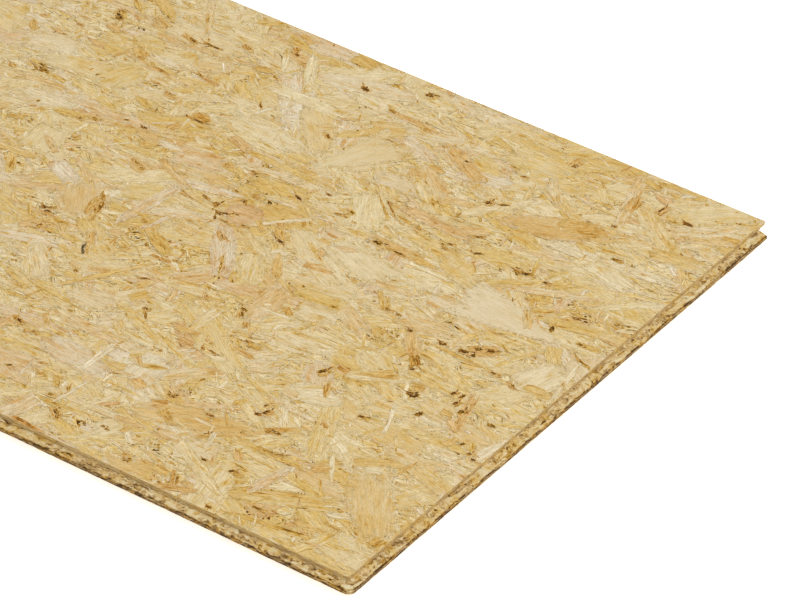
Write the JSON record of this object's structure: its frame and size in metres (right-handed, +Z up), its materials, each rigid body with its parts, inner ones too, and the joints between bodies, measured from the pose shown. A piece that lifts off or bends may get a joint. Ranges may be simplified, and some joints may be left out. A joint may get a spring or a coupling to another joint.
{
  "type": "osb flooring panel",
  "caption": "Flat oriented strand board panel with a tongue on two adjacent edges and a matching groove on the other two.",
  "frame": {"origin": "on the underside's plane, under the middle of the outline with the tongues included", "axes": "+Z up through the panel's thickness, +X along its length towards the short tongue, -Y towards the long tongue"},
  "size_m": [2.5096, 0.6844, 0.018],
  "materials": {
    "osb": "pressed wood strands with a light resin and wax sheen, milled edges rougher"
  },
  "bodies": {
    "root": {"osb_panel": "osb"}
  },
  "joints": []
}
